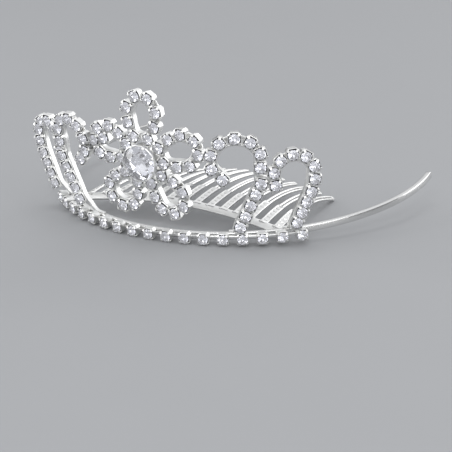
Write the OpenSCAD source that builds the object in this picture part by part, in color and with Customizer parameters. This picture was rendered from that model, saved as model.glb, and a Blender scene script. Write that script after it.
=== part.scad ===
/* [Band] */
// Outer radius of the flat metal band
band_r = 70.3; // [68:0.1:72]
// Thickness of the band
band_t = 1.5; // [1.2:0.1:1.8]
// Height of the band's strip
band_h = 2.3; // [2:0.1:2.6]
// Angle from the front to the right arm's tip
right_tip_a = 99.5; // [92:0.5:110]
// Angle from the front to the left arm's tip, which reaches further back
left_tip_a = 116; // [92:0.5:120]
// Angle by which the band rises towards the back
tilt = 4; // [3.5:0.25:4.5]

/* [Stone cups] */
// Width of a cup across its flats
cup_w = 4.1; // [4:0.05:4.15]
// Depth of a cup from its back to its rim
cup_d = 2.3; // [2.2:0.1:2.6]
// Radius of the seat for the stone
seat_r = 1.85; // [1.8:0.01:1.9]
// Depth of the seat
seat_d = 1.7; // [1.6:0.1:1.9]
// Thickness of the ribbon that joins the cups of a loop
ribbon_t = 0.7; // [0.5:0.1:0.8]
// Depth of that ribbon
ribbon_d = 2.5; // [2:0.1:2.7]
// Distance of the ribbon's back edge behind the rims
ribbon_back = 3; // [2.9:0.1:3.2]

/* [Base row] */
// Number of stones in the base row
row_n = 17; // [17]
// Distance from one base stone to the next
row_pitch = 6.84; // [6.8:0.02:6.9]
// Distance of the base row's rims from the axis of the band
row_r = 73.8; // [73.7:0.1:74.2]

/* [Flower] */
// Place of the flower along the front, left of the middle
flower_x = -3.4; // [-3.6:0.1:-3.2]
// Height of the flower's centre over the base row
flower_h = 24.4; // [24:0.1:24.8]
// Distance of the petals' rims behind the base row's
flower_y = 5; // [4.8:0.1:5.2]
// Distance of the big crystal's girdle behind the base row's rims
crystal_y = 2.7; // [2.5:0.1:2.8]
// Radius of the big crystal
crystal_r = 6.05; // [5.9:0.05:6.1]

/* [Comb] */
// Number of hairpin teeth
tooth_n = 15; // [15]
// Radius of the comb's wire
wire_r = 0.55; // [0.5:0.05:0.6]
// Half of the distance between a tooth's two wires
wire_off = 0.76; // [0.7:0.02:0.8]
// Distance from the front of the base row to the tips of the teeth
tip_y = 72; // [70:1:74]
// Height by which the middle tips stand over the outer ones
tip_rise = 6.5; // [5:0.5:7]
// Height of the comb's flat spine
spine_h = 2.5; // [2.2:0.1:2.8]
// Thickness of the spine
spine_t = 1; // [0.8:0.1:1.1]

/* [Hidden] */

silver = "silver";
clear = "lightcyan";

// The whole piece is built level, then tilted about the front of the base row
lift = cup_w / 2 * cos(tilt);
// The middle of the piece's box lies this far behind the front of the base row
middle_y = 51.486;
band_top = band_h / 2;
axis_y = row_r;

// A seat is a point, the turn of its surface about the upright and the slope of its chain
function wrapped(s, h, out) =
    let (a = s / axis_y * 180 / PI, r = axis_y + out)
    [[r * sin(a), axis_y - r * cos(a), h], a];
function slope(a, b) = atan2(b[1] - a[1], b[0] - a[0]);
function clamp_i(i, n) = min(max(i, 0), n - 1);
function chain_slope(p, i) = slope(p[clamp_i(i - 1, len(p))], p[clamp_i(i + 1, len(p))]);
function loop_slope(p, i) = slope(p[(i + len(p) - 1) % len(p)], p[(i + 1) % len(p)]);
function beside(p, a, d) = [p[0] - d * sin(a), p[1] + d * cos(a)];

module stand() {
    translate([0, -middle_y, lift]) rotate([tilt, 0, 0]) children();
}

module at_seat(place, spin) {
    translate(place[0]) rotate([0, 0, place[1]]) rotate([90, 0, 0]) rotate([0, 0, spin])
        children();
}

module seat_hole() {
    translate([0, 0, -seat_d]) cylinder(r = seat_r, h = seat_d + 1, $fn = 32);
}

// One eight-sided cup, its rim at z = 0 and its front towards +Z
module cup() {
    difference() {
        translate([0, 0, -cup_d]) rotate([0, 0, 22.5])
            cylinder(d = cup_w / cos(22.5), h = cup_d, $fn = 8);
        seat_hole();
    }
}

// One round stone in its seat, with its flat table and its pointed back
stone_r = seat_r - 0.08;
table_z = 0.55;
table_r = 1.05;
module stone() {
    rotate_extrude($fn = 32)
        polygon([
            [0, -seat_d + 0.1],
            [stone_r, -0.3],
            [stone_r, -0.1],
            [table_r, table_z],
            [0, table_z],
        ]);
}

// The ribbon runs along the inner side of a loop, from one cup's side to the next
ribbon_off = cup_w / 2 + ribbon_t / 2 - 0.12;

function offset_side(q, slopes, d) = [for (i = [0:len(q) - 1]) beside(q[i], slopes[i], d)];

module ribbon_open(q) {
    slopes = [for (i = [0:len(q) - 1]) chain_slope(q, i)];
    near = offset_side(q, slopes, ribbon_t / 2);
    far = offset_side(q, slopes, -ribbon_t / 2);
    translate([0, 0, -ribbon_back]) linear_extrude(ribbon_d)
        polygon(concat(near, [for (i = [len(q) - 1:-1:0]) far[i]]));
}

module ribbon_ring(q) {
    slopes = [for (i = [0:len(q) - 1]) loop_slope(q, i)];
    difference() {
        translate([0, 0, -ribbon_back]) linear_extrude(ribbon_d)
            polygon(offset_side(q, slopes, -ribbon_t / 2));
        translate([0, 0, -ribbon_back - 1]) linear_extrude(ribbon_d + 2)
            polygon(offset_side(q, slopes, ribbon_t / 2));
    }
}

module flower_frame() {
    translate([flower_x, flower_y, flower_h]) rotate([90, 0, 0]) children();
}

// Half of a petal's stones: distance from the flower's centre along the petal, and to its side
petal_half = [
    [0, 2.85],
    [4.7, 5.1],
    [9.9, 5.7],
    [14.3, 2.5],
];
// Each petal: its angle, its first stones' distance from the centre, its stretch along and
// across, its shift to the side, and the places of any stones inside its ring
top_petal = [85.5, 8.25, 1.01, 1.02, 0.9, []];
right_petal = [17.5, 7.9, 1.03, 0.98, 0.4, []];
lower_right_petal = [-50.5, 7.9, 0.91, 0.97, 0.1, []];
lower_left_petal = [-123.5, 8.1, 0.81, 1.02, -0.8, []];
left_petal = [157.6, 8, 0.86, 0.97, 0.2, [[16.9, 0]]];

function flower_point(petal, u, v) = [
    u * cos(petal[0]) - v * sin(petal[0]),
    u * sin(petal[0]) + v * cos(petal[0])
];
function petal_points(petal) = [
    for (i = [0:7])
        let (
            p = petal_half[i < 4 ? 3 - i : i - 4],
            side = i < 4 ? 1 : -1
        )
        flower_point(petal, petal[1] + p[0] * petal[2], side * p[1] * petal[3] + petal[4])
];
function inner_points(petal) = [for (p = petal[5]) flower_point(petal, p[0], p[1])];

module petal(shape) {
    p = petal_points(shape);
    color(silver) stand() flower_frame() difference() {
        union() {
            for (i = [0:len(p) - 1])
                translate([p[i][0], p[i][1], 0]) rotate([0, 0, loop_slope(p, i)]) cup();
            ribbon_ring([for (i = [0:len(p) - 1]) beside(p[i], loop_slope(p, i), ribbon_off)]);
            for (q = inner_points(shape)) translate([q[0], q[1], 0]) cup();
        }
        for (q = inner_points(shape)) translate([q[0], q[1], 0]) seat_hole();
    }
}

module petal_stones(shape) {
    color(clear) stand() flower_frame()
        for (p = concat(petal_points(shape), inner_points(shape)))
            translate([p[0], p[1], 0]) stone();
}

// The big crystal's setting: a shallow bezel in front, and a hub that the petals sit round
hub_r = 6.1;
bezel_r = crystal_r + 0.6;
bezel_back = flower_y - 0.75;
hub_back = flower_y + ribbon_back;
culet_d = 3.8;

module centre_setting() {
    color(silver) stand() translate([flower_x, 0, flower_h]) rotate([90, 0, 0])
        difference() {
            union() {
                translate([0, 0, -bezel_back])
                    cylinder(r = bezel_r, h = bezel_back - crystal_y, $fn = 64);
                translate([0, 0, -hub_back])
                    cylinder(r = hub_r, h = hub_back - crystal_y - 0.3, $fn = 64);
            }
            translate([0, 0, -crystal_y - 0.7])
                cylinder(r = crystal_r + 0.1, h = 2, $fn = 64);
            translate([0, 0, -bezel_back]) cylinder(r = crystal_r - 0.55, h = 2, $fn = 64);
            translate([0, 0, -crystal_y - culet_d - 0.6])
                cylinder(r = crystal_r - 1.7, h = culet_d, $fn = 64);
        }
}

module centre_crystal() {
    color(clear) stand() translate([flower_x, crystal_y, flower_h]) rotate([90, 0, 0])
        rotate_extrude($fn = 64)
            polygon([
                [0, -culet_d - 0.3],
                [crystal_r, -0.3],
                [crystal_r, 0.1],
                [3.6, 2.2],
                [0, 2.2],
            ]);
}

// The links behind the base cups fill the space between them and the band
row_back = row_r - band_r - 0.2;
link_d = row_back - cup_d + 0.2;

module base_row() {
    color(silver) stand() for (i = [0:row_n - 1]) {
        s = (i - (row_n - 1) / 2) * row_pitch;
        at_seat(wrapped(s, 0, 0), 0) cup();
        if (i < row_n - 1)
            at_seat(wrapped(s + row_pitch / 2, 0, 0), 0)
                translate([-row_pitch / 2, -0.45, -row_back]) cube([row_pitch, 0.9, link_d]);
    }
}

module base_row_stones() {
    color(clear) stand() for (i = [0:row_n - 1])
        at_seat(wrapped((i - (row_n - 1) / 2) * row_pitch, 0, 0), 0) stone();
}

// A scroll is a straight leg of cups that runs into a round hook with a free end
function leg(foot, knee, n) = [for (i = [0:n - 1]) foot + (knee - foot) * i / (n - 1)];
function hook(c, r, from, to, n) = [
    for (i = [0:n - 1])
        let (a = from + (to - from) * i / (n - 1))
        [c[0] + r[0] * cos(a), c[1] + r[1] * sin(a)]
];
big_scroll = concat(
    leg([-0.5, 4.5], [7.05, 19.8], 5),
    hook([-1.1, 28.1], [8.7, 7.75], -19.5, 237, 8)
);
small_scroll = concat(
    leg([-0.4, 4.6], [4.9, 15.2], 4),
    hook([-0.7, 21.7], [7.25, 7.3], -17, 203.5, 7)
);

// How each scroll stands: its side, the place of its foot along the row, its turn about the
// upright, its outward lean, its turn in its own plane, its foot's shift from the row's rim,
// the size of its path, the place on the band where its ribbon's end stands and the reach of
// that end towards the flower
big_right = [1, 34.2, 26.6, 0, 0, [0, 0, 0], 1, 31.1, 4.1];
big_left = [-1, -34.2, -22.2, 4.7, 0.3, [-0.4, 0.4, 1.3], 0.97, -31.6, 4.1];
small_right = [1, 53.5, 41.5, 0, 0, [0, 0, 0], 1, 50.4, 3.4];
small_left = [-1, -53.5, -24.2, 3.6, -0.8, [-2, -0.75, 1.4], 1, -51.9, 3.5];

module scroll_plate(set) {
    translate(wrapped(set[1], 0, 0)[0] + set[5]) rotate([0, 0, set[2]]) rotate([90 + set[3], 0, 0])
        rotate([0, 0, set[4]]) children();
}

function sided(path, set) = [for (c = path) [set[0] * c[0], c[1]] * set[6]];

// The ribbon ends in a foot that bends towards the flower and stands on the band's top edge
foot_top = 2.1;

module scroll(path, set) {
    p = sided(path, set);
    side = set[0];
    raise = set[5][2];
    q = [for (i = [0:len(p) - 1]) beside(p[i], chain_slope(p, i), side * ribbon_off)];
    sole = [
        [-side * set[8], 1.55 - raise],
        [-side * (1.3 + set[8] / 2), 1.85 - raise],
        [-side * 2.75, 2.85 - raise],
    ];
    color(silver) stand() union() {
        scroll_plate(set) {
            for (i = [0:len(p) - 1])
                translate([p[i][0], p[i][1], 0]) rotate([0, 0, chain_slope(p, i)]) cup();
            ribbon_open(concat(sole, q));
        }
        at_seat(wrapped(set[7], 0, 0), 0)
            translate([-0.8, band_top + 0.15, -4.7])
                cube([1.6, foot_top - band_top - 0.15, 4]);
    }
}

module scroll_stones(path, set) {
    color(clear) stand() scroll_plate(set)
        for (c = sided(path, set)) translate([c[0], c[1], 0]) stone();
}

module band() {
    sweep = right_tip_a + left_tip_a;
    edge = 0.25;
    inner = band_r - band_t;
    color(silver) stand() translate([0, axis_y, 0]) rotate([0, 0, -90 - left_tip_a])
        rotate_extrude(angle = sweep, $fn = 128)
            polygon([
                [inner, -band_top + edge],
                [inner + edge, -band_top],
                [band_r - edge, -band_top],
                [band_r, -band_top + edge],
                [band_r, band_top - edge],
                [band_r - edge, band_top],
                [inner + edge, band_top],
                [inner, band_top - edge],
            ]);
}

// The comb is set out upright: its spine is an arch between two points inside the band
spine_left = [-39.9, 18.7, 3.6];
spine_right = [42.1, 20.2, 1.4];
spine_bow = 2.7;
spine_rise = 3.6;
root_up = 1.9;
tooth_end_t = 0.93;
tooth_draw_in = 0.92;
tooth_sag = 0.0042;
tooth_end_sag = 0.0014;

function spine_at(t) =
    (spine_left + spine_right) / 2 + (spine_right - spine_left) / 2 * t
        + [0, spine_bow, spine_rise] * (1 - t * t);
function tooth_tip(t) =
    let (c = (spine_left + spine_right) / 2)
    [
        c[0] + (spine_at(t)[0] - c[0]) * tooth_draw_in,
        tip_y,
        wire_r + tip_rise * (1 - pow(t / tooth_end_t, 2))
    ];
// A point on a tooth: u runs from its root to its tip, and side is the distance to its middle
function tooth_at(t, u, side) =
    let (
        root = spine_at(t) + [0, 0, root_up],
        tip = tooth_tip(t),
        len_y = tip[1] - root[1],
        sag = tooth_sag + tooth_end_sag * t * t
    )
    root + (tip - root) * u + [side, 0, sag * len_y * len_y * u * (1 - u)];
function tooth_path(t) =
    let (turn_u = wire_off / (tip_y - spine_at(t)[1]))
    concat(
        [for (i = [0:9]) tooth_at(t, i / 9 * (1 - turn_u), wire_off)],
        [for (a = [30:30:150])
            tooth_at(t, 1 - turn_u + turn_u * sin(a), wire_off * cos(a))],
        [for (i = [9:-1:0]) tooth_at(t, i / 9 * (1 - turn_u), -wire_off)]
    );

function unit(v) = v / norm(v);
function along(p, i) = unit(p[clamp_i(i + 1, len(p))] - p[clamp_i(i - 1, len(p))]);

// A wire of even radius along a path that never runs upright
module wire(path, radius, sides) {
    n = len(path);
    points = [
        for (i = [0:n - 1])
            let (
                d = along(path, i),
                across = unit(cross(d, [0, 0, 1])),
                up = cross(across, d)
            )
            for (k = [0:sides - 1])
                path[i] + radius * (across * cos(k * 360 / sides) + up * sin(k * 360 / sides))
    ];
    sides_faces = [
        for (i = [0:n - 2])
            for (k = [0:sides - 1])
                let (j = (k + 1) % sides)
                [i * sides + k, i * sides + j, (i + 1) * sides + j, (i + 1) * sides + k]
    ];
    first = [for (k = [sides - 1:-1:0]) k];
    last = [for (k = [0:sides - 1]) (n - 1) * sides + k];
    polyhedron(points, concat([first], sides_faces, [last]));
}

module spine() {
    n = 24;
    p = [for (i = [0:n]) spine_at(2 * i / n - 1)];
    corner = [
        [-spine_t / 2, 0],
        [spine_t / 2, 0],
        [spine_t / 2, spine_h],
        [-spine_t / 2, spine_h],
    ];
    points = [
        for (i = [0:n])
            let (d = along(p, i), back = unit([-d[1], d[0], 0]))
            for (c = corner) p[i] + back * c[0] + [0, 0, c[1]]
    ];
    faces = [
        for (i = [0:n - 1])
            for (k = [0:3])
                let (j = (k + 1) % 4)
                [i * 4 + k, (i + 1) * 4 + k, (i + 1) * 4 + j, i * 4 + j]
    ];
    polyhedron(points, concat([[0, 1, 2, 3]], faces, [[n * 4 + 3, n * 4 + 2, n * 4 + 1, n * 4]]));
}

module comb() {
    color(silver) translate([0, -middle_y, 0]) union() {
        spine();
        for (k = [0:tooth_n - 1])
            wire(tooth_path((2 * k / (tooth_n - 1) - 1) * tooth_end_t), wire_r, 6);
    }
}

band();
comb();
base_row();
base_row_stones();
petal(top_petal);  // petal_top
petal_stones(top_petal);  // petal_top_stones
petal(right_petal);  // petal_right
petal_stones(right_petal);  // petal_right_stones
petal(lower_right_petal);  // petal_lower_right
petal_stones(lower_right_petal);  // petal_lower_right_stones
petal(lower_left_petal);  // petal_lower_left
petal_stones(lower_left_petal);  // petal_lower_left_stones
petal(left_petal);  // petal_left
petal_stones(left_petal);  // petal_left_stones
centre_setting();
centre_crystal();
scroll(big_scroll, big_right);  // scroll_big_right
scroll_stones(big_scroll, big_right);  // scroll_big_right_stones
scroll(big_scroll, big_left);  // scroll_big_left
scroll_stones(big_scroll, big_left);  // scroll_big_left_stones
scroll(small_scroll, small_right);  // scroll_small_right
scroll_stones(small_scroll, small_right);  // scroll_small_right_stones
scroll(small_scroll, small_left);  // scroll_small_left
scroll_stones(small_scroll, small_left);  // scroll_small_left_stones
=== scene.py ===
import math
import random
from collections import namedtuple

import bmesh
import bpy
from bpy.props import FloatProperty, FloatVectorProperty, IntProperty, PointerProperty
from bpy.types import Operator, Panel, PropertyGroup
from mathutils import Matrix, Vector


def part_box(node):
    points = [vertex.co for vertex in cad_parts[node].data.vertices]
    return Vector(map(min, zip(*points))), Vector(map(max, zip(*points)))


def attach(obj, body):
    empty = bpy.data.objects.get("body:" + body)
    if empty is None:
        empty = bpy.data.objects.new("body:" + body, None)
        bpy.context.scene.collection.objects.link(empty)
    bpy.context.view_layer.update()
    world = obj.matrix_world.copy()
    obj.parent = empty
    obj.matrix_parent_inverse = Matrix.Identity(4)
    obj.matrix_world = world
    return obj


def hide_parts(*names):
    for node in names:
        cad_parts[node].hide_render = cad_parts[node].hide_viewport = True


bl_info = {
    "name": "Flower tiara",
    "version": (1, 0, 0),
    "blender": (4, 5, 0),
    "location": "3D View > Sidebar > Tiara",
    "description": "The finished looks of a silver tiara with a flower, four scrolls and a hair comb",
    "category": "Add Mesh",
}

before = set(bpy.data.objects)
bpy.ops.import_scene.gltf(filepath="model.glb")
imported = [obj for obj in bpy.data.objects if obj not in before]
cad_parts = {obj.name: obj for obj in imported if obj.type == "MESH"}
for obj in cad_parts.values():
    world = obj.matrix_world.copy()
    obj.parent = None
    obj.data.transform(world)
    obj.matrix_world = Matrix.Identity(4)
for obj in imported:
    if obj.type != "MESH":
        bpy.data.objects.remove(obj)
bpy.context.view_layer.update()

# Shapes are worked out in millimetres, and each finished piece is brought to metres at the end
MM = 0.001
TO_METRES = Matrix.Scale(MM, 4)
UP = Vector((0, 0, 1))

PETALS = ["petal_top", "petal_right", "petal_lower_right", "petal_lower_left", "petal_left"]
SCROLLS = ["scroll_big_right", "scroll_big_left", "scroll_small_right", "scroll_small_left"]
LEFT_SCROLLS = ["scroll_big_left", "scroll_small_left"]
STONES_IN_A_PETAL = 8

# Edges of the cups and of the other metal that turn by more radians than this stay sharp
CUP_CREASE = 0.35
METAL_CREASE = 0.7

# Where a stone sits: the middle of its cup's rim, and the way that it faces
Seat = namedtuple("Seat", "point facing")

# Planes that cut a gem: their number round its axis, the turn of the first and their tilt from facing
# up in degrees, and the radius and height of a point on each
Facets = namedtuple("Facets", "count turn tilt radius height")
BACKWARDS = 180


def a_length(name, description, millimetres):
    return FloatProperty(name=name, description=description, default=millimetres * MM, unit="LENGTH")


def an_angle(name, description, degrees):
    default = math.radians(degrees)
    return FloatProperty(name=name, description=description, default=default, subtype="ANGLE")


def a_colour(name, description, *default):
    return FloatVectorProperty(name=name, description=description, default=default, subtype="COLOR")


class TiaraCups(PropertyGroup):
    """Sizes of the cups that hold the round stones."""

    width: a_length("Width", "Width of a cup across its flats", 4.55)
    row_width: a_length("Row width", "Width of the base row's cups", 4.1)
    depth: a_length("Depth", "Depth of a cup from its rim", 3.0)
    wall: a_length("Wall", "Thickness of the sheet", 0.26)
    prong_width: a_length("Prong width", "Width of a prong at its root", 0.95)
    ribbon_thickness: a_length("Ribbon", "Thickness of the ribbon beside the cups", 0.7)
    ribbon_depth: a_length("Ribbon depth", "Depth of that ribbon", 2.0)
    link_width: a_length("Link width", "Width of the links that join the cups", 1.5)
    link_thickness: a_length("Link thickness", "Thickness of those links", 0.6)
    left_turn: an_angle("Left turn", "How far the left scrolls' cups are turned to the front", 22)


class TiaraStones(PropertyGroup):
    """Sizes of the stones."""

    radius: a_length("Radius", "Radius of a round stone", 1.85)
    row_share: FloatProperty(
        name="Row share", description="Size of the base row's stones beside the others", default=0.94
    )
    table_rise: a_length("Table", "Height of a stone's table over its cup's rim", 0.55)
    crystal_radius: a_length("Crystal radius", "Radius of the big crystal", 6.05)
    wobble: an_angle("Wobble", "Most that a stone sits askew", 5)
    seed: IntProperty(name="Seed", description="Start of the stones' random turns", default=7)


class TiaraBand(PropertyGroup):
    """Sizes and place of the band."""

    radius: a_length("Radius", "Outer radius of the band", 70.5)
    thickness: a_length("Thickness", "Thickness of the band", 1.85)
    height: a_length("Height", "Height of the band's strip", 2.3)
    right_lift: a_length("Right lift", "How far the right arm bends up from the band's plane", 2.3)
    slant: a_length("Slant", "How far the outer face's top lies behind its bottom", 0.3)
    right_tip: an_angle("Right tip", "Angle from the front to the right arm's tip", 99.5)
    left_tip: an_angle("Left tip", "Angle from the front to the left arm's tip", 116)
    tilt: an_angle("Tilt", "Angle by which the band rises to the back", 4)
    row_radius: a_length("Row radius", "Distance of the row's rims from the band's axis", 73.8)
    row_rise: a_length("Row rise", "Height of the row's stones over the surface", 2.05)
    front: a_length("Front", "Distance of the row's front from the middle of the piece", 51.486)


class TiaraComb(PropertyGroup):
    """Sizes of the comb."""

    teeth: IntProperty(name="Teeth", description="Number of teeth", default=15)
    wire_radius: a_length("Wire", "Radius of a tooth's wire", 0.5)
    wire_offset: a_length("Wire offset", "Half of the distance between a tooth's wires", 0.63)
    ribbed_part: FloatProperty(
        name="Ribbed part", description="Share of a tooth that is a ribbed strip", default=0.3
    )
    rib_pitch: a_length("Rib pitch", "Distance between the grooves of a tooth's root", 2.4)


class TiaraFinish(PropertyGroup):
    """Colours of the finishes."""

    silver: a_colour("Silver", "Colour of the plated metal", 0.9, 0.9, 0.89)
    # Dimmed, this colour is also the painted shade inside the cups and in the comb's grooves
    tarnish: a_colour("Dull silver", "Colour of its duller patches", 0.77, 0.77, 0.76)
    # This colour is also that of the foils' painted glow
    glass: a_colour("Glass", "Colour of the stones' glass", 0.97, 0.975, 1.0)
    foil: a_colour("Foil", "Colour of the foil behind the stones", 0.97, 0.972, 1.0)


class TiaraStage(PropertyGroup):
    """The camera, and the colours of the floor and the sky."""

    azimuth: an_angle("Azimuth", "Turn of the camera round the tiara", 29.56)
    elevation: an_angle("Elevation", "Height of the camera over the horizon", 18.07)
    roll: an_angle("Roll", "Turn of the camera about its view", -0.81)
    distance: a_length("Distance", "Distance of the camera", 534.8)
    aim_right: a_length("Aim right", "Shift of the view to the right", 26.91)
    aim_up: a_length("Aim up", "Shift of the view upwards", 4.75)
    lens: FloatProperty(name="Lens", description="Focal length in millimetres", default=123.74)
    floor: a_colour("Floor", "Colour of the floor", 0.29, 0.295, 0.305)
    sky: a_colour("Sky", "Colour of the light from above", 0.97, 0.98, 1.0)


class Field:
    """A socket of a node; sums written on it become Math nodes."""

    def __init__(self, recipe, socket):
        self.recipe = recipe
        self.socket = socket

    def maths(self, operation, first, second):
        return self.recipe.add("ShaderNodeMath", {"operation": operation}, {0: first, 1: second})

    def __add__(self, other):
        return self.maths("ADD", self, other)

    def __sub__(self, other):
        return self.maths("SUBTRACT", self, other)

    def __rsub__(self, other):
        return self.maths("SUBTRACT", other, self)

    def __mul__(self, other):
        return self.maths("MULTIPLY", self, other)

    __radd__ = __add__
    __rmul__ = __mul__


class Recipe:
    """A material or a world under construction."""

    def __init__(self, owner):
        owner.use_nodes = True
        self.owner = owner
        self.tree = owner.node_tree
        self.tree.nodes.clear()

    def add(self, kind, settings=None, inputs=None, output=0):
        """Adds a node of any kind and returns one of its outputs as a Field."""
        node = self.tree.nodes.new(kind)
        for key, value in (settings or {}).items():
            setattr(node, key, value)
        for key, value in (inputs or {}).items():
            socket = node.inputs[key]
            if isinstance(value, Field):
                self.tree.links.new(value.socket, socket)
            else:
                socket.default_value = value
        return Field(self, node.outputs[output]) if node.outputs else None

    def places(self):
        return self.add("ShaderNodeTexCoord", output="Object")

    def along(self, places, axis):
        return self.add("ShaderNodeSeparateXYZ", inputs={0: places}, output=axis)

    def noise(self, places, scale, detail):
        values = {"Vector": places, "Scale": scale, "Detail": detail}
        return self.add("ShaderNodeTexNoise", inputs=values, output="Fac")

    def shades(self, mask, dark, light):
        """Mixes two colours, which are inputs 6 and 7 and output 2 of the node."""
        values = {0: mask, 6: (*dark, 1.0), 7: (*light, 1.0)}
        return self.add("ShaderNodeMix", {"data_type": "RGBA"}, values, output=2)

    def bump(self, height, strength, depth):
        values = {"Height": height, "Strength": strength, "Distance": depth}
        return self.add("ShaderNodeBump", inputs=values, output="Normal")

    def finish(self, **inputs):
        """Ends a material in one shader, whose sockets are named with underscores."""
        named = {key.replace("_", " "): value for key, value in inputs.items()}
        shader = self.add("ShaderNodeBsdfPrincipled", inputs=named)
        self.add("ShaderNodeOutputMaterial", inputs={"Surface": shader})
        return self.owner


def dimmed(colour, share):
    return [share * c for c in colour]


def a_finish(build):
    """A material is made at its first use, under the name of its function, and kept."""
    kept = []

    def get():
        if not kept:
            recipe = Recipe(bpy.data.materials.new(build.__name__))
            kept.append(build(recipe, bpy.context.scene.tiara_finish))
        return kept[0]

    return get


@a_finish
def bright_silver(recipe, colours):
    """The plating of the cups and ribbons, with dull patches and a fine grain."""
    places = recipe.places()
    patches = recipe.noise(places, 260.0, 3.0)
    grain = recipe.noise(places, 2600.0, 2.0)
    return recipe.finish(
        Base_Color=recipe.shades(patches, colours.tarnish, colours.silver),
        Metallic=1.0,
        Roughness=0.22 + 0.2 * patches,
        Normal=recipe.bump(grain, 0.15, 0.03 * MM),
    )


# How far the axis of the band's arc lies behind the middle of the piece, in metres
BAND_AXIS = 0.0223


@a_finish
def brushed_silver_painted_shade(recipe, colours):
    """The band's strip, with fine streaks across it, dimmed as painted shade."""
    places = recipe.places()
    x = recipe.along(places, "X")
    y = recipe.along(places, "Y")
    angle = x.maths("ARCTAN2", x, y - BAND_AXIS)
    line = recipe.add("ShaderNodeCombineXYZ", inputs={"X": angle})
    streaks = recipe.noise(line, 420.0, 3.0)
    patches = recipe.noise(places, 140.0, 3.0)
    return recipe.finish(
        # Both colours are dimmed as painted shade, which darkens the whole band; the streaks between
        # them are brushing
        Base_Color=recipe.shades(streaks, dimmed(colours.tarnish, 0.76), dimmed(colours.silver, 0.96)),
        Metallic=1.0,
        Roughness=0.16 + 0.12 * patches + 0.05 * streaks,
        Normal=recipe.bump(streaks, 0.03, 0.02 * MM),
    )


@a_finish
def satin_silver(recipe, colours):
    """The comb's plating, which is a little matt."""
    places = recipe.places()
    patches = recipe.noise(places, 180.0, 3.0)
    grain = recipe.noise(places, 3200.0, 3.0)
    return recipe.finish(
        Base_Color=recipe.shades(patches, dimmed(colours.tarnish, 0.86), dimmed(colours.silver, 0.9)),
        Metallic=1.0,
        Roughness=0.26 + 0.16 * patches,
        Normal=recipe.bump(grain, 0.2, 0.03 * MM),
    )


@a_finish
def painted_shade_silver(recipe, colours):
    """Painted shade inside the cups and in the comb's grooves, as dark silver."""
    patches = recipe.noise(recipe.places(), 600.0, 2.0)
    return recipe.finish(
        Base_Color=recipe.shades(patches, dimmed(colours.tarnish, 0.12), dimmed(colours.tarnish, 0.3)),
        Metallic=1.0,
        Roughness=0.4 + 0.2 * patches,
    )


@a_finish
def stone_glass(recipe, colours):
    """The clear front of a stone, faintly smeared."""
    smears = recipe.noise(recipe.places(), 700.0, 2.0)
    return recipe.finish(
        Base_Color=(*colours.glass, 1.0),
        Roughness=0.01 + 0.03 * smears,
        IOR=1.7,
        Transmission_Weight=1.0,
    )


@a_finish
def stone_foil_painted_glow(recipe, colours):
    """The silvered back of a stone, seen through it; it glows faintly in the glass's colour as painted
    light.
    """
    patches = recipe.noise(recipe.places(), 500.0, 2.0)
    return recipe.finish(
        Base_Color=recipe.shades(patches, dimmed(colours.foil, 0.85), colours.foil),
        Metallic=0.88,
        Roughness=0.08 + 0.08 * patches,
        # Painted light: a faint glow for the light that the foil gives back through the glass
        Emission_Color=(*colours.glass, 1.0),
        Emission_Strength=0.12,
    )


@a_finish
def crystal_foil_painted_glow(recipe, colours):
    """The silvered back of the big crystal, which is smoother and darker in places; it glows faintly as
    painted light.
    """
    patches = recipe.noise(recipe.places(), 220.0, 2.0)
    return recipe.finish(
        Base_Color=recipe.shades(patches, dimmed(colours.foil, 0.8), colours.foil),
        Metallic=1.0,
        Roughness=0.04 + 0.06 * patches,
        # Painted light: a faint glow for the light that the foil gives back through the glass
        Emission_Color=(*colours.glass, 1.0),
        Emission_Strength=0.08,
    )


def stage_floor(colour):
    recipe = Recipe(bpy.data.materials.new("pale_floor"))
    speckle = recipe.noise(recipe.places(), 30.0, 4.0)
    return recipe.finish(
        Base_Color=recipe.shades(speckle, dimmed(colour, 0.97), colour),
        Roughness=0.62 + 0.08 * speckle,
    )


def stage_sky(colour):
    """A sky that is bright overhead and dark at the horizon."""
    recipe = Recipe(bpy.data.worlds.new("studio"))
    height = recipe.along(recipe.add("ShaderNodeTexCoord", output="Generated"), "Z")
    values = {"Value": height, "From Min": 0.02, "From Max": 0.5, "To Min": 0.03, "To Max": 0.98}
    strength = recipe.add("ShaderNodeMapRange", {"interpolation_type": "SMOOTHSTEP"}, values)
    light = recipe.add("ShaderNodeBackground", inputs={"Color": (*colour, 1.0), "Strength": strength})
    recipe.add("ShaderNodeOutputWorld", inputs={"Surface": light})
    return recipe.owner


def mean(points):
    points = list(points)
    return sum(points, Vector()) / len(points)


def basis(x, y, z, at):
    """A matrix from three axes and a place."""
    return Matrix([[x[i], y[i], z[i], at[i]] for i in range(3)] + [[0, 0, 0, 1]])


def seat_of(faces, rise):
    """A stone's table is the biggest group of faces that look the same way."""
    groups = {}
    for face in faces:
        # Adding zero makes one number of 0.0 and -0.0
        key = tuple(round(n, 2) + 0.0 for n in face.normal)
        groups.setdefault(key, []).append(face)
    table = max(groups.values(), key=lambda group: sum(f.calc_area() for f in group))
    area = sum(f.calc_area() for f in table)
    facing = sum((f.normal * f.calc_area() for f in table), Vector()).normalized()
    middle = sum((f.calc_center_median() * f.calc_area() for f in table), Vector()) / area
    return Seat(middle - facing * rise, facing)


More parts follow.
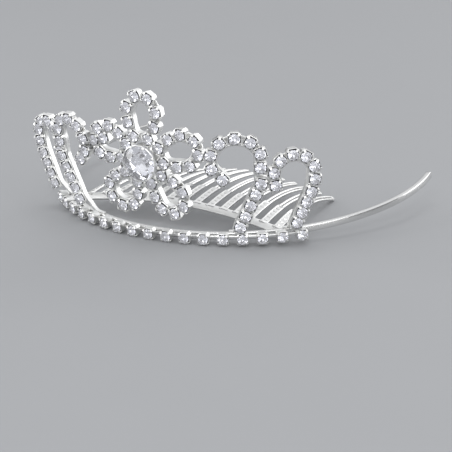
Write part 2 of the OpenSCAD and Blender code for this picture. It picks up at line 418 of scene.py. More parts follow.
def seats_of(node):
    """The seats of the stones in a CAD node, in millimetres."""
    bm = bmesh.new()
    bm.from_mesh(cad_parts[node].data)
    bmesh.ops.scale(bm, vec=Vector((1 / MM,) * 3), verts=bm.verts)
    bmesh.ops.remove_doubles(bm, verts=bm.verts, dist=0.002)
    bm.normal_update()
    rise = bpy.context.scene.tiara_stones.table_rise / MM
    seats = []
    # Each stone is a set of faces that hang together
    for start in bm.faces:
        if start.tag:
            continue
        start.tag = True
        faces = [start]
        for face in faces:
            for edge in face.edges:
                for other in edge.link_faces:
                    if not other.tag:
                        other.tag = True
                        faces.append(other)
        seats.append(seat_of(faces, rise))
    bm.free()
    if node.removesuffix("_stones") in LEFT_SCROLLS:
        turn = Matrix.Rotation(bpy.context.scene.tiara_cups.left_turn, 3, "Z")
        seats = [Seat(seat.point, turn @ seat.facing) for seat in seats]
    return sorted(seats, key=lambda s: tuple(round(v, 3) for v in s.point))


def in_a_row(seats, first):
    """Orders seats from one to the nearest that is left."""
    left = [s for s in seats if s is not first]
    row = [first]
    while left:
        near = min(left, key=lambda s: (s.point - row[-1].point).length)
        left.remove(near)
        row.append(near)
    return row


def in_a_ring(seats, count):
    """Orders the seats round their middle, and returns any that lie inside the ring apart."""
    middle = mean(s.point for s in seats)
    ranked = sorted(seats, key=lambda s: -(s.point - middle).length)
    ring, inner = ranked[:count], ranked[count:]
    facing = ring[0].facing
    across = UP.cross(facing).normalized()
    up = facing.cross(across)

    def angle(seat):
        away = seat.point - middle
        return math.atan2(away.dot(up), away.dot(across))

    return sorted(ring, key=angle), inner


def item_at(items, i, closed):
    """The item at an index: past an end a closed row starts again, and an open one stays there."""
    return items[i % len(items)] if closed else items[min(max(i, 0), len(items) - 1)]


def chain_places(seats, closed):
    """A matrix for each seat: X along the chain, Z out of the cup."""
    places = []
    for i, seat in enumerate(seats):
        along = item_at(seats, i + 1, closed).point - item_at(seats, i - 1, closed).point
        along = (along - seat.facing * along.dot(seat.facing)).normalized()
        places.append(basis(along, seat.facing.cross(along), seat.facing, seat.point))
    return places


def smooth_path(points, closed, steps):
    """Points on a smooth curve through the given ones."""
    path = []
    for i in range(len(points) if closed else len(points) - 1):
        a, b, c, d = (item_at(points, i + k, closed) for k in (-1, 0, 1, 2))
        for step in range(steps):
            t = step / steps
            path.append(
                0.5 * (2 * b + (c - a) * t + (2 * a - 5 * b + 4 * c - d) * t**2
                       + (3 * b - 3 * c + d - a) * t**3)
            )
    if not closed:
        path.append(points[-1].copy())
    return path


def path_frames(path, closed, side_of):
    """A matrix for each point of a path: Z along it, X and Y across it."""
    frames = []
    for i, point in enumerate(path):
        along = (item_at(path, i + 1, closed) - item_at(path, i - 1, closed)).normalized()
        across = side_of(along).normalized()
        frames.append(basis(across, along.cross(across), along, point))
    return frames


def rounded_box(width, height, corner, steps=2):
    """The outline of a strip with rounded edges, about its middle."""
    outline = []
    for k in range(4):
        turn = math.pi / 2 * k
        sign_x = 1 if k in (0, 3) else -1
        sign_y = 1 if k in (0, 1) else -1
        for i in range(steps + 1):
            a = turn + math.pi / 2 * i / steps
            outline.append(Vector((
                sign_x * (width / 2 - corner) + corner * math.cos(a),
                sign_y * (height / 2 - corner) + corner * math.sin(a),
                0,
            )))
    return outline


def sweep(bm, outline, frames, closed=False):
    """Extrudes an outline from frame to frame, and caps its ends or joins them."""
    strip = bmesh.new()
    verts = [strip.verts.new(frames[0] @ p) for p in outline]
    edges = [strip.edges.new((verts[i - 1], verts[i])) for i in range(len(verts))]
    if not closed:
        strip.faces.new(verts)
    stops = frames[1:] + frames[:1] if closed else frames[1:]
    for before, after in zip(frames, stops):
        made = bmesh.ops.extrude_edge_only(strip, edges=edges)["geom"]
        edges = [g for g in made if isinstance(g, bmesh.types.BMEdge)]
        new_verts = [g for g in made if isinstance(g, bmesh.types.BMVert)]
        bmesh.ops.transform(strip, matrix=after @ before.inverted(), verts=new_verts)
        edges = [e for e in edges if all(v in new_verts for v in e.verts)]
    if closed:
        bmesh.ops.remove_doubles(strip, verts=verts + new_verts, dist=0.001)
    else:
        bmesh.ops.contextual_create(strip, geom=edges)
    merge(bm, strip)


def spin_profile(bm, profile, steps):
    """Turns points (radius, height) round the axis, as a ring if the first one lies off the axis."""
    verts = [bm.verts.new((r, 0, z)) for r, z in profile]
    closed = profile[0][0] > 0
    edges = [bm.edges.new((verts[i - 1], verts[i])) for i in range(0 if closed else 1, len(verts))]
    bmesh.ops.spin(
        bm, geom=verts + edges, axis=(0, 0, 1), cent=(0, 0, 0), steps=steps, angle=2 * math.pi,
        use_merge=True,
    )
    bmesh.ops.remove_doubles(bm, verts=bm.verts, dist=0.0001)
    bmesh.ops.recalc_face_normals(bm, faces=bm.faces)


# An eighth of a cup's outline, from the middle of a flat to a corner: the turn of each point in
# degrees, and its distance from the axis beside the flat's
CUP_OUTLINE = [(0, 1.0), (17, 1.0457), (30.5, 1.1606), (36, 1.15), (45, 1.135)]
CUP_SIDES = 32
# Heights of a cup's rim and floor, and half of the rim's dip between two prongs
CUP_RIM = -0.08
CUP_FLOOR = -1.75
RIM_DIP = 0.09

# Sections of a prong from root to tip: how far each lies in from the cup's corner, its height, its
# turn from upright in degrees, and its share of the width
PRONG = [
    (0.1, -1.3, 0, 1.0),
    (0.02, -0.3, 2, 1.0),
    (0.07, 0.04, 20, 0.98),
    (0.25, 0.26, 46, 0.94),
    (0.52, 0.42, 62, 0.86),
    (0.8, 0.52, 72, 0.74),
    (1.02, 0.57, 78, 0.48),
]
# Thickness of a prong beside the wall's
PRONG_SHARE = 1.1


def cup_mesh(cups, width):
    """One cup: a thin square shell with cut corners whose front is open, and four prongs over it."""
    half = width / MM / 2
    depth = cups.depth / MM
    wall = cups.wall / MM
    rim = CUP_RIM
    bm = bmesh.new()
    spin_profile(bm, [
        # The back and its rounded edge
        (0, -depth), (half - 0.42, -depth), (half - 0.26, -depth + 0.06), (half - 0.17, -depth + 0.22),
        # The side, which widens to the front
        (half - 0.06, -1.2), (half, -0.4), (half, rim - 0.1),
        # The rounded rim
        (half - 0.02, rim - 0.03), (half - 0.07, rim),
        (half - wall + 0.06, rim), (half - wall, rim - 0.08),
        # The inside and its floor
        (half - wall, rim - 0.3), (half - wall - 0.4, CUP_FLOOR), (0, CUP_FLOOR),
    ], CUP_SIDES)
    # The round shell is pulled to the outline, one side after another
    for vert in bm.verts:
        radius = vert.co.to_2d().length
        angle = math.atan2(vert.co.y, vert.co.x)
        flat = round(angle / (math.pi / 2)) * math.pi / 2
        step = abs(round((angle - flat) / (2 * math.pi / CUP_SIDES)))
        turn, swell = CUP_OUTLINE[step]
        if radius > 0.01:
            angle = flat + math.copysign(math.radians(turn), angle - flat)
            vert.co.x = radius * swell * math.cos(angle)
            vert.co.y = radius * swell * math.sin(angle)
        # The rim dips between the prongs
        if vert.co.z > rim - 0.15:
            vert.co.z -= RIM_DIP * (1 + math.cos(4 * angle))
    # Faces inside the cup get the second material, which is painted shade for the hollow under the
    # stone
    for face in bm.faces:
        middle = face.calc_center_median()
        inside = middle.to_2d().length < half - wall + 0.05 and -depth + 0.3 < middle.z < rim - 0.1
        face.material_index = 1 if inside else 0
    corner = half * CUP_OUTLINE[-1][1]
    sections = [(corner - inwards, height, lean, share) for inwards, height, lean, share in PRONG]
    outline = rounded_box(wall * PRONG_SHARE, cups.prong_width / MM, corner=0.09)
    for k in range(4):
        add_tab(bm, outline, sections, math.pi / 4 + math.pi / 2 * k)
    return bm


def add_tab(bm, outline, sections, angle):
    """A tab that folds in over a gem's edge; its sections are as in PRONG, but from the axis."""
    sweep(bm, outline, [
        Matrix.Rotation(angle, 4, "Z")
        @ Matrix.Translation((out, 0, height))
        @ Matrix.Rotation(-math.radians(lean), 4, "Y")
        @ Matrix.Diagonal((1, share, 1, 1))
        for out, height, lean, share in sections
    ])


def gem_mesh(radius, girdle, low, high, cuts):
    """Cuts a gem out of a round blank, plane by plane; under the girdle it gets the second material."""
    bm = bmesh.new()
    bmesh.ops.create_cone(
        bm, cap_ends=True, segments=32, radius1=radius, radius2=radius, depth=high - low,
        matrix=Matrix.Translation((0, 0, (low + high) / 2)),
    )
    for facets in cuts:
        for k in range(facets.count):
            angle = math.radians(facets.turn + 360 / facets.count * k)
            tilt = math.radians(facets.tilt)
            out = Vector((math.cos(angle), math.sin(angle), 0))
            normal = out * math.sin(tilt) + UP * math.cos(tilt)
            point = out * facets.radius + UP * facets.height
            cut = bmesh.ops.bisect_plane(
                bm, geom=bm.verts[:] + bm.edges[:] + bm.faces[:], dist=1e-5,
                plane_co=point, plane_no=normal, clear_outer=True,
            )["geom_cut"]
            edges = [g for g in cut if isinstance(g, bmesh.types.BMEdge)]
            if len(edges) > 2:
                bmesh.ops.contextual_create(bm, geom=edges)
    bmesh.ops.remove_doubles(bm, verts=bm.verts, dist=0.004)
    bmesh.ops.recalc_face_normals(bm, faces=bm.faces)
    for face in bm.faces:
        face.material_index = 1 if face.calc_center_median().z < girdle else 0
    return bm


def round_stone_mesh(stones):
    """A round stone: three rings of facets round its table, and two behind."""
    r = stones.radius / MM
    top = stones.table_rise / MM
    return gem_mesh(r, girdle=-0.05, low=-1.6, high=top, cuts=[
        Facets(8, 0, 30, r, 0.05),
        Facets(8, 22.5, 19, 0.85, top),
        Facets(16, 11.25, 38, r, 0.06),
        Facets(8, 0, BACKWARDS - 38, r, -0.1),
        Facets(16, 11.25, BACKWARDS - 42, r, -0.1),
    ])


# Heights of the big crystal's ends
CRYSTAL_BACK = -4.1
CRYSTAL_TOP = 2.2


def crystal_mesh(stones):
    """The big crystal: a square table in the middle of broad facets."""
    r = stones.crystal_radius / MM
    top = CRYSTAL_TOP
    return gem_mesh(r, girdle=-0.25, low=CRYSTAL_BACK, high=top, cuts=[
        Facets(4, 20, 24, 1.5, top),
        Facets(8, 42.5, 31, 2.7, top - 0.5),
        Facets(8, 20, 38, 4.0, top - 0.95),
        Facets(16, 11.25, 44, r, 0.0),
        Facets(8, 22.5, BACKWARDS - 35, r, -0.3),
        Facets(16, 11.25, BACKWARDS - 39, r, -0.3),
        Facets(4, 0, BACKWARDS - 20, 1.7, -3.0),
    ])


def mesh_from(bm, name):
    mesh = bpy.data.meshes.new(name)
    bm.to_mesh(mesh)
    bm.free()
    return mesh


def stamp(bm, mesh, matrix):
    """Adds a placed copy of a mesh."""
    placed = mesh.copy()
    placed.transform(matrix)
    bm.from_mesh(placed)
    bpy.data.meshes.remove(placed)


def merge(bm, part):
    """Adds a part to a shape and frees it."""
    mesh = mesh_from(part, "part")
    bm.from_mesh(mesh)
    bpy.data.meshes.remove(mesh)


def new_object(name, data):
    thing = bpy.data.objects.new(name, data)
    bpy.context.scene.collection.objects.link(thing)
    return thing


def make_piece(name, bm, materials, nodes, crease=METAL_CREASE):
    """Turns a finished shape into the object for its CAD nodes; without a crease its faces are flat."""
    bmesh.ops.recalc_face_normals(bm, faces=bm.faces)
    mesh = mesh_from(bm, name)
    mesh.transform(TO_METRES)
    for material in materials:
        mesh.materials.append(material)
    if crease:
        for polygon in mesh.polygons:
            polygon.use_smooth = True
        mesh.set_sharp_from_angle(angle=crease)
    piece = new_object(name, mesh)
    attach(piece, "root")
    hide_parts(*nodes)


def cups_at(places, cups, width):
    """A shape with a cup at each place."""
    cup = mesh_from(cup_mesh(cups, width), "cup")
    bm = bmesh.new()
    for place in places:
        stamp(bm, cup, place)
    bpy.data.meshes.remove(cup)
    return bm


def make_cups(name, bm):
    """Turns a finished row of cups into its object."""
    # The second material is painted shade inside the cups
    make_piece(name + "_cups", bm, [bright_silver(), painted_shade_silver()], [name], CUP_CREASE)


def stand(settings):
    """From the level frame of the base row to the frame of the piece."""
    lift = settings.row_rise / MM * math.cos(settings.tilt)
    return Matrix.Translation((0, -settings.front / MM, lift)) @ Matrix.Rotation(settings.tilt, 4, "X")


# A full turn in radians, near enough for the way in which a stone is tipped
ROUGH_TURN = 6.28


def set_round_stones(node, stone, dice, wobble, share):
    """Fills a node's seats with stones, each turned and tipped a little in its own way."""
    bm = bmesh.new()
    for seat in seats_of(node):
        upright = seat.facing.to_track_quat("Z", "Y").to_matrix().to_4x4()
        turn = Matrix.Rotation(dice.uniform(0, 2 * math.pi), 4, "Z")
        x = math.cos(dice.uniform(0, ROUGH_TURN))
        y = math.sin(dice.uniform(0, ROUGH_TURN))
        tip = Matrix.Rotation(dice.uniform(-wobble, wobble), 4, Vector((x, y, 0)))
        stamp(bm, stone, Matrix.Translation(seat.point) @ upright @ tip @ turn @ Matrix.Scale(share, 4))
    make_piece(
        node.replace("_stones", "_rhinestones"), bm, [stone_glass(), stone_foil_painted_glow()], [node],
        crease=0,
    )


class TIARA_OT_stones(Operator):
    """Set the round stones"""

    bl_idname = "tiara.stones"
    bl_label = "Round stones"

    def execute(self, context):
        stones = context.scene.tiara_stones
        stone = mesh_from(round_stone_mesh(stones), "round_stone")
        dice = random.Random(stones.seed)
        for name in ["base_row", *PETALS, *SCROLLS]:
            share = stones.row_share if name == "base_row" else 1
            set_round_stones(name + "_stones", stone, dice, stones.wobble, share)
        bpy.data.meshes.remove(stone)
        return {"FINISHED"}


RIBBON_STEPS = 6
# Share of its depth that a ribbon has at the end of its foot
FOOT_SHARE = 0.55
# How much deeper the petals' ribbons are than the scrolls'
PETAL_SPREAD = 1.2
# How far a ribbon lies inside the cups' flats, and how far its front edge lies behind their rims
RIBBON_SUNK = 0.4
RIBBON_BACK = 0.7
LINK_STEPS = 4
LINK_EDGE = 0.15


def ribbon(bm, points, facing, closed, cups, foot=0, spread=1):
    """A strip on edge along a smooth path; its depth dwindles over the points of its foot."""
    path = smooth_path(points, closed, RIBBON_STEPS)
    frames = path_frames(path, closed, lambda along: facing.cross(along))
    if foot:
        last = foot * RIBBON_STEPS
        shares = [FOOT_SHARE + (1 - FOOT_SHARE) * min(i / last, 1) for i in range(len(frames))]
        frames = [m @ Matrix.Diagonal((1, share, 1, 1)) for m, share in zip(frames, shares)]
    outline = rounded_box(cups.ribbon_thickness / MM, spread * cups.ribbon_depth / MM, corner=0.16)
    sweep(bm, outline, frames, closed)


def links(bm, places, closed, cups):
    """A flat strip behind the cups that stands for the links between them."""
    back = cups.depth / MM - cups.link_thickness / MM / 2
    points = [place @ Vector((0, 0, -back)) for place in places]
    path = smooth_path(points, closed, LINK_STEPS)
    facing = mean(place.col[2].to_3d() for place in places)
    frames = path_frames(path, closed, lambda along: facing.cross(along))
    outline = rounded_box(cups.link_width / MM, cups.link_thickness / MM, LINK_EDGE)
    sweep(bm, outline, frames, closed)


def ribbon_point(place, side, cups):
    """The middle of the ribbon beside a cup."""
    out = cups.width / MM / 2 + cups.ribbon_thickness / MM / 2 - RIBBON_SUNK
    back = RIBBON_BACK + cups.ribbon_depth / MM / 2
    return place @ Vector((0, side * out, -back))


def inner_side(places, middle):
    """On which side of a chain its middle lies."""
    total = sum((middle - m.translation).dot(m.col[1].to_3d()) for m in places)
    return 1 if total > 0 else -1


class TIARA_OT_petals(Operator):
    """Make the flower's five petals"""

    bl_idname = "tiara.petals"
    bl_label = "Petals"

    def execute(self, context):
        cups = context.scene.tiara_cups
        for name in PETALS:
            ring, inner = in_a_ring(seats_of(name + "_stones"), STONES_IN_A_PETAL)
            places = chain_places(ring, True)
            side = inner_side(places, mean(s.point for s in ring))
            # The cup of a stone inside the ring is turned to the ring's first one
            inner_places = chain_places(inner + ring[:1], False)[: len(inner)]
            bm = cups_at(places + inner_places, cups, cups.width)
            links(bm, places, True, cups)
            points = [ribbon_point(place, side, cups) for place in places]
            ribbon(bm, points, ring[0].facing, True, cups, spread=PETAL_SPREAD)
            make_cups(name, bm)
        return {"FINISHED"}


# Where each scroll's ribbon lies on the band: how far two points of it are from the first cup along
# the band, towards the front
SOLES = {
    "scroll_big_right": (0.4, 2.4),
    "scroll_small_right": (0.4, 2.4),
    "scroll_big_left": (3.6, 8.5),
    "scroll_small_left": (2.4, 5.5),
}
SOLE_GAP = 0.02
# The point between first cup and sole: its share of the way, and its shift down the chain
KNEE_SHARE = 0.35
KNEE_REACH = 0.6

# The angles from the front between which the right arm bends up, in radians
BEND_START = 0.2
BEND_END = 1.75


def arm_rise(sizes, angle):
    """How far the band lies over its own plane, at an angle from the front."""
    part = min(max((angle - BEND_START) / (BEND_END - BEND_START), 0), 1)
    return sizes.right_lift / MM * part * part * (3 - 2 * part)


def on_band(sizes, angle, rise):
    """A point over the middle of the band's top, at an angle from the front."""
    radius = (sizes.radius - sizes.thickness / 2) / MM
    height = sizes.height / MM / 2 + rise + arm_rise(sizes, angle)
    level = Vector((radius * math.sin(angle), sizes.row_radius / MM - radius * math.cos(angle), height))
    return stand(sizes) @ level


def band_angle(sizes, point):
    """The angle from the front at which a point stands."""
    level = stand(sizes).inverted() @ point
    return math.atan2(level.x, sizes.row_radius / MM - level.y)


class TIARA_OT_scrolls(Operator):
    """Make the four scrolls"""

    bl_idname = "tiara.scrolls"
    bl_label = "Scrolls"

    def execute(self, context):
        cups = context.scene.tiara_cups
        sizes = context.scene.tiara_band
        radius = sizes.radius / MM
        over = cups.ribbon_thickness / MM / 2 + SOLE_GAP
        for name in SCROLLS:
            seats = seats_of(name + "_stones")
            row = in_a_row(seats, min(seats, key=lambda s: s.point.z))
            places = chain_places(row, False)
            side = 1 if name.endswith("right") else -1
            bm = cups_at(places, cups, cups.width)
            links(bm, places, False, cups)
            points = [ribbon_point(place, side, cups) for place in places]
            first = band_angle(sizes, points[0])
            sole = [on_band(sizes, first - side * reach / radius, over) for reach in SOLES[name]]
            knee = points[0].lerp(sole[0], KNEE_SHARE) - places[0].col[0].to_3d() * KNEE_REACH
            ribbon(bm, [sole[1], sole[0], knee] + points, row[0].facing, False, cups, foot=2)
            make_cups(name, bm)
        return {"FINISHED"}


# The wire behind the base row's cups
ROW_LINK_DEPTH = 0.7
ROW_LINK_HEIGHT = 0.9


class TIARA_OT_base_row(Operator):
    """Make the base row's cups and links"""

    bl_idname = "tiara.base_row"
    bl_label = "Base row"

    def execute(self, context):
        cups = context.scene.tiara_cups
        seats = sorted(seats_of("base_row_stones"), key=lambda s: s.point.x)
        places = chain_places(seats, False)
        bm = cups_at(places, cups, cups.row_width)
        back = cups.depth / MM - ROW_LINK_DEPTH / 2
        points = [place @ Vector((0, 0, -back)) for place in places]
        path = smooth_path(points, False, LINK_STEPS)
        up = places[len(places) // 2].col[1].to_3d()
        frames = path_frames(path, False, lambda along: up.cross(along))
        sweep(bm, rounded_box(ROW_LINK_DEPTH, ROW_LINK_HEIGHT, LINK_EDGE), frames)
        make_cups("base_row", bm)
        return {"FINISHED"}


BAND_STEPS = 216
# The rounding of the band's ends: distances from the tip, and the share of the section there
BAND_TIPS = [(0, 0.88), (0.06, 0.97), (0.2, 1.0)]


class TIARA_OT_band(Operator):
    """Make the band"""

    bl_idname = "tiara.band"
    bl_label = "Band"

    def execute(self, context):
        sizes = context.scene.tiara_band
        outer = sizes.radius / MM
        thick = sizes.thickness / MM
        tall = sizes.height / MM
        axis = sizes.row_radius / MM
        turn = sizes.right_tip + sizes.left_tip
        ends = [reach / outer for reach, share in BAND_TIPS]
        angles = ends + [turn * i / BAND_STEPS for i in range(1, BAND_STEPS)]
        angles += [turn - end for end in reversed(ends)]
        frames = []
        for i, angle in enumerate(angles):
            angle -= sizes.left_tip
            away = Vector((math.sin(angle), -math.cos(angle), 0))
            along = Vector((math.cos(angle), math.sin(angle), 0))
            share = BAND_TIPS[min(i, len(angles) - 1 - i, len(ends) - 1)][1]
            point = Vector((0, axis, arm_rise(sizes, angle))) + away * (outer - thick / 2)
            frames.append(
                stand(sizes) @ basis(away, UP, -along, point)
                @ Matrix.Diagonal((share, share, 1, 1))
            )
        # The outer face leans back a little, so the strip's top is narrower than its bottom
        outline = rounded_box(thick, tall, corner=0.22, steps=3)
        for point in outline:
            if point.x > 0:
                point.x -= sizes.slant / MM * point.y / tall
        bm = bmesh.new()
        sweep(bm, outline, frames)
        make_piece("band_strip", bm, [brushed_silver_painted_shade()], ["band"])
        return {"FINISHED"}


# The comb is set out from the front of the base row: the ends of its spine's underside, and how far
# the spine's middle lies behind and over the line between them
SPINE_LEFT = Vector((-39.9, 18.7, 3.6))
SPINE_RIGHT = Vector((42.1, 20.2, 1.4))
SPINE_ARCH = Vector((0, 2.7, 3.6))
SPINE_HEIGHT = 2.7
SPINE_STEPS = 48
# How far the spine's strip is turned about its length, in degrees
SPINE_LEAN = 42

# How far the teeth start over the spine's underside
ROOT_UP = 1.9
# Where the outermost teeth stand, as a share of the way to the spine's ends
OUTER_TOOTH = 0.93
# Width of the row of tips beside that of the row of roots
DRAW_IN = 0.94
# Where the tips lie behind the front, and how far the middle one lies over the outer ones
TIP_Y = 69.6
TIP_RISE = 6.5
TIP_CURVE = 1.6
# How much the teeth bow up beside the square of their reach, and how much more at the spine's ends
BOW = 0.0042
OUTER_BOW = 0.0014
# Twist of a tooth at the spine's end, in degrees: half of it at the root, all of it at the tip
END_LEAN = 40
TOOTH_STEPS = 44
TURN_STEPS = 10
WIRE_SIDES = 10

# How much further out the wires lie at the ribbed part, and the share of a tooth that the step takes
SHOULDER_STEP = 0.19
SHOULDER_SPREAD = 0.05
# How far out the wires flare next to the spine, and over which length
FLARE = 0.5
FLARE_LENGTH = 1.5

# The ribbed plate: its borders and face, how much wider the face is than the room between the
# borders, and how far the plate is sunk under the wires' tops
BORDER = 0.38
BORDER_THICKNESS = 0.52
FACE_THICKNESS = 0.46
FACE_OVERLAP = 0.1
PLATE_SUNK = 0.2
# Its grooves: how far before a whole pitch each lies, as a share of it, their depth, and half of
# their length at the face, at the bottom and where they get painted shade
GROOVE_SHIFT = 0.4
GROOVE_DEPTH = 0.3
GROOVE_TOP = 0.42
GROOVE_BOTTOM = 0.3
GROOVE_PAINTED_SHADE = 0.41
# Height of the normal of a face that counts as looking up
LOOKS_UP = 0.2
# The slope at the plate's end
END_LENGTH = 0.3
END_DIP = 0.25


def spine_at(t):
    """A point under the comb's spine: t is -1 at its left end and 1 at its right one."""
    middle = (SPINE_LEFT + SPINE_RIGHT) / 2
    return middle + (SPINE_RIGHT - SPINE_LEFT) / 2 * t + SPINE_ARCH * (1 - t * t)


def across_tooth(t, u):
    """The way from wire to wire of a tooth: the outer teeth twist outwards and down to their tips."""
    lean = math.radians(END_LEAN * t * (0.5 + 0.5 * u))
    return Vector((math.cos(lean), 0, -math.sin(lean)))


def tooth_at(t, u, side, comb):
    """A point on a tooth, or beside it: u is 0 at its root and 1 at its tip."""
    root = spine_at(t) + UP * ROOT_UP
    middle_x = (SPINE_LEFT.x + SPINE_RIGHT.x) / 2
    lowest = (comb.wire_radius + comb.wire_offset * abs(across_tooth(t, 1).z)) / MM
    tip = Vector((
        middle_x + (spine_at(t).x - middle_x) * DRAW_IN,
        TIP_Y,
        lowest + TIP_RISE * (1 - abs(t / OUTER_TOOTH) ** TIP_CURVE),
    ))
    reach = tip.y - root.y
    bow = (BOW + OUTER_BOW * t * t) * reach * reach * u * (1 - u)
    return root + (tip - root) * u + across_tooth(t, u) * side + UP * bow


def half_gap(comb, s, reach):
    """Half of the distance between a tooth's wires, s millimetres from the spine."""
    swell = min(max((comb.ribbed_part - s / reach) / SHOULDER_SPREAD + 0.5, 0), 1)
    shoulder = SHOULDER_STEP * swell * swell * (3 - 2 * swell)
    flare = max(1 - s / FLARE_LENGTH, 0)
    return comb.wire_offset / MM + shoulder + FLARE * flare * flare


def add_tooth(bm, t, comb):
    """A hairpin of two wires that run side by side, joined near the root by a ribbed plate."""
    wire = comb.wire_radius / MM
    off = comb.wire_offset / MM
    reach = TIP_Y - spine_at(t).y
    turn = off / reach
    out = [i * (1 - turn) / TOOTH_STEPS for i in range(TOOTH_STEPS + 1)]
    path = [tooth_at(t, u, half_gap(comb, u * reach, reach), comb) for u in out]
    path += [
        tooth_at(t, 1 - turn + turn * math.sin(a), off * math.cos(a), comb)
        for a in [math.pi * k / TURN_STEPS for k in range(1, TURN_STEPS)]
    ]
    path += [tooth_at(t, u, -half_gap(comb, u * reach, reach), comb) for u in reversed(out)]
    up = across_tooth(t, 0.5).cross(Vector((0, -1, 0)))
    sides = [2 * math.pi * k / WIRE_SIDES for k in range(WIRE_SIDES)]
    outline = [Vector((wire * math.cos(a), wire * math.sin(a), 0)) for a in sides]
    sweep(bm, outline, path_frames(path, False, lambda along: along.cross(up)))
    add_ribbed_plate(bm, t, comb, reach)


def add_ribbed_plate(bm, t, comb, reach):
    """The plate over a tooth's wires near its root: two borders, and a face with grooves."""
    pitch = comb.rib_pitch / MM
    length = comb.ribbed_part * reach
    root = spine_at(t).y
    across = across_tooth(t, comb.ribbed_part / 2)
    middles = [(k - GROOVE_SHIFT) * pitch for k in range(1, int(length / pitch) + 1)]
    # Distance along the tooth and how far the face dips there
    stations = [(0, 0)]
    for middle in middles:
        stations += [
            (middle - GROOVE_TOP, 0), (middle - GROOVE_BOTTOM, GROOVE_DEPTH),
            (middle + GROOVE_BOTTOM, GROOVE_DEPTH), (middle + GROOVE_TOP, 0),
        ]
    stations = [s for s in stations if s[0] < length - 2 * END_LENGTH]
    stations += [(length - END_LENGTH, 0), (length, END_DIP)]
    face = across.cross(Vector((0, 1, 0))) * (comb.wire_radius / MM - PLATE_SUNK)

    def strip(side, width, thickness, dips):
        """A strip along one side (-1 or 1) or the middle (0), which may dip at the grooves."""
        level = [tooth_at(t, s / reach, 0, comb) for s, dip in stations]
        frames = path_frames(level, False, lambda along: across)
        for (s, dip), m in zip(stations, frames):
            outer = half_gap(comb, s, reach) + comb.wire_radius / MM
            place = tooth_at(t, s / reach, side * (outer - width / 2), comb)
            m.translation = place + (face - UP * (dip if dips or s == length else 0))
        part = bmesh.new()
        sweep(part, rounded_box(width, thickness, corner=0.09, steps=1), frames)
        part.normal_update()
        for polygon in part.faces:
            centre = polygon.calc_center_median()
            near = min(abs(centre.y - root - middle) for middle in middles)
            # Groove faces that look up get the second material, which is painted shade
            dull = dips and near < GROOVE_PAINTED_SHADE and polygon.normal.z > LOOKS_UP
            polygon.material_index = 1 if dull else 0
        merge(bm, part)

    for side in (-1, 1):
        strip(side, BORDER, BORDER_THICKNESS, False)
    # The face is as wide as the room between the borders past the flare
    room = half_gap(comb, 2 * FLARE_LENGTH, reach) + comb.wire_radius / MM - BORDER
    strip(0, 2 * room + FACE_OVERLAP, FACE_THICKNESS, True)


class TIARA_OT_comb(Operator):
    """Make the hair comb"""

    bl_idname = "tiara.comb"
    bl_label = "Hair comb"

    def execute(self, context):
        comb = context.scene.tiara_comb
        stops = [2 * i / SPINE_STEPS - 1 for i in range(SPINE_STEPS + 1)]
        path = [spine_at(t) + UP * SPINE_HEIGHT / 2 for t in stops]
        lean = Matrix.Rotation(math.radians(SPINE_LEAN), 4, "Z")
        frames = []
        for m in path_frames(path, False, lambda along: along.cross(UP)):
            along = Vector((m.col[2].x, m.col[2].y, 0)).normalized()
            frames.append(basis(along.cross(UP), UP, along, m.translation) @ lean)
        bm = bmesh.new()
        sweep(bm, rounded_box(width=1.0, height=SPINE_HEIGHT, corner=0.25), frames)
        for k in range(comb.teeth):
            add_tooth(bm, (2 * k / (comb.teeth - 1) - 1) * OUTER_TOOTH, comb)
        front = context.scene.tiara_band.front / MM
        bmesh.ops.translate(bm, vec=(0, -front, 0), verts=bm.verts)
        # The second material is painted shade in the grooves
        make_piece("comb_teeth", bm, [satin_silver(), painted_shade_silver()], ["comb"])
        return {"FINISHED"}


def crystal_place():
    """Where the big crystal sits: its axis along the way it faces, its girdle at zero."""
    low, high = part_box("centre_crystal")
    tilt = bpy.context.scene.tiara_band.tilt
    facing = Vector((0, -math.cos(tilt), -math.sin(tilt)))
    middle = (low + high) / 2 / MM
    girdle = middle - facing * (CRYSTAL_TOP + CRYSTAL_BACK) / 2
    across = Vector((1, 0, 0))
    return basis(across, facing.cross(across), facing, girdle)


# Radius and height of each turn of the setting's wall, from the rim round to the inside
SETTING_WALL = [
    (6.38, 0.1), (6.55, 0.02), (6.65, -0.15), (6.6, -1.3), (6.3, -1.5), (6.1, -1.6),
    (6.05, -5.0), (5.9, -5.2), (5.2, -5.3), (4.5, -5.25), (4.4, -5.0), (4.4, -1.7),
    (5.6, -1.1), (6.12, -0.7), (6.16, -0.2), (6.22, 0.04),
]

# The claws over the crystal's edge, and the sections of one
CLAWS = 8
CLAW = [
    (6.5, -0.9, 0, 1), (6.56, -0.1, 5, 1), (6.42, 0.3, 35, 0.95), (6.1, 0.5, 62, 0.8),
    (5.75, 0.6, 72, 0.5),
]


class TIARA_OT_flower_centre(Operator):
    """Make the flower's big crystal and its setting"""

    bl_idname = "tiara.flower_centre"
    bl_label = "Flower centre"

    def execute(self, context):
        place = crystal_place()
        bm = crystal_mesh(context.scene.tiara_stones)
        bmesh.ops.transform(bm, matrix=place, verts=bm.verts)
        make_piece(
            "flower_crystal", bm, [stone_glass(), crystal_foil_painted_glow()], ["centre_crystal"],
            crease=0,
        )
        bm = bmesh.new()
        spin_profile(bm, SETTING_WALL, steps=72)
        outline = rounded_box(width=0.3, height=1.0, corner=0.1)
        for k in range(CLAWS):
            add_tab(bm, outline, CLAW, 2 * math.pi / CLAWS * k + math.pi / CLAWS)
        bmesh.ops.transform(bm, matrix=place, verts=bm.verts)
        make_piece("flower_setting", bm, [bright_silver()], ["centre_setting"])
        return {"FINISHED"}


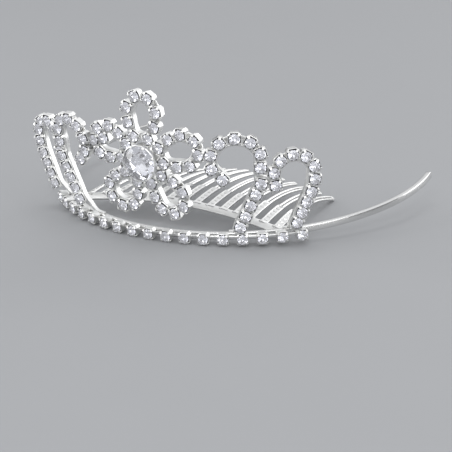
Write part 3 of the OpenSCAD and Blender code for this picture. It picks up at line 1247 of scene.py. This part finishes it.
# Place and size in metres, and power of each soft box; all face the tiara
SOFT_BOXES = [
    ("left", (-1.0, -0.45, 0.35), 0.7, 6.0),
    ("right", (0.95, -0.35, 0.35), 0.5, 2.4),
    ("behind_camera", (0.35, -1.1, 0.75), 0.5, 4.0),
    ("top", (-0.1, 0.2, 1.1), 0.5, 1.5),
    ("back", (0.3, 1.3, 0.5), 0.9, 3.5),
    ("low_right", (0.65, 0.75, 0.14), 0.45, 2.0),
]


def camera_place(stage, front):
    """The camera's place and turn, set out from the tiara's front."""
    turn, rise, roll = stage.azimuth, stage.elevation, stage.roll
    back = Vector((math.sin(turn) * math.cos(rise), -math.cos(turn) * math.cos(rise), math.sin(rise)))
    level = Vector((math.cos(turn), math.sin(turn), 0))
    upright = back.cross(level)
    right = math.cos(roll) * level + math.sin(roll) * upright
    up = -math.sin(roll) * level + math.cos(roll) * upright
    eye = front + right * stage.aim_right + up * stage.aim_up + back * stage.distance
    return basis(right, up, back, eye)


class TIARA_OT_stage(Operator):
    """Set the floor, the lights and the camera"""

    bl_idname = "tiara.stage"
    bl_label = "Stage"

    def execute(self, context):
        scene = context.scene
        stage = scene.tiara_stage
        bm = bmesh.new()
        bmesh.ops.create_grid(bm, x_segments=1, y_segments=1, size=4.0)
        mesh = mesh_from(bm, "floor")
        mesh.materials.append(stage_floor(stage.floor))
        new_object("floor", mesh)
        scene.world = stage_sky(stage.sky)
        scene.view_settings.view_transform = "Standard"
        for name, place, size, power in SOFT_BOXES:
            light = bpy.data.lights.new(name, "AREA")
            light.shape = "SQUARE"
            light.size = size
            light.energy = power
            lamp = new_object(name, light)
            lamp.location = place
            lamp.rotation_euler = (-Vector(place)).to_track_quat("-Z", "Y").to_euler()
        camera_data = bpy.data.cameras.new("camera")
        camera_data.lens = stage.lens
        camera_data.sensor_width = 36
        camera_data.clip_start = 0.01
        camera_data.clip_end = 50
        camera = new_object("camera", camera_data)
        camera.matrix_world = camera_place(stage, Vector((0, -scene.tiara_band.front, 0)))
        scene.camera = camera
        return {"FINISHED"}


STEPS = [
    TIARA_OT_stones,
    TIARA_OT_petals,
    TIARA_OT_scrolls,
    TIARA_OT_base_row,
    TIARA_OT_band,
    TIARA_OT_comb,
    TIARA_OT_flower_centre,
    TIARA_OT_stage,
]
GROUPS = {
    "tiara_cups": TiaraCups,
    "tiara_stones": TiaraStones,
    "tiara_band": TiaraBand,
    "tiara_comb": TiaraComb,
    "tiara_finish": TiaraFinish,
    "tiara_stage": TiaraStage,
}


class TIARA_PT_pieces(Panel):
    """Lists the steps that make the tiara"""

    bl_idname = "TIARA_PT_pieces"
    bl_label = "Tiara"
    bl_space_type = "VIEW_3D"
    bl_region_type = "UI"
    bl_category = "Tiara"

    def draw(self, context):
        for step in STEPS:
            self.layout.operator(step.bl_idname)
        for name, group in GROUPS.items():
            box = self.layout.box()
            for key in group.__annotations__:
                box.prop(getattr(context.scene, name), key)


def register():
    for group in (*GROUPS.values(), *STEPS, TIARA_PT_pieces):
        bpy.utils.register_class(group)
    for name, group in GROUPS.items():
        setattr(bpy.types.Scene, name, PointerProperty(type=group))


def unregister():
    for name in GROUPS:
        delattr(bpy.types.Scene, name)
    for group in reversed((*GROUPS.values(), *STEPS, TIARA_PT_pieces)):
        bpy.utils.unregister_class(group)


def main():
    register()
    for step in STEPS:
        family, name = step.bl_idname.split(".")
        getattr(getattr(bpy.ops, family), name)()


if __name__ == "__main__":
    main()
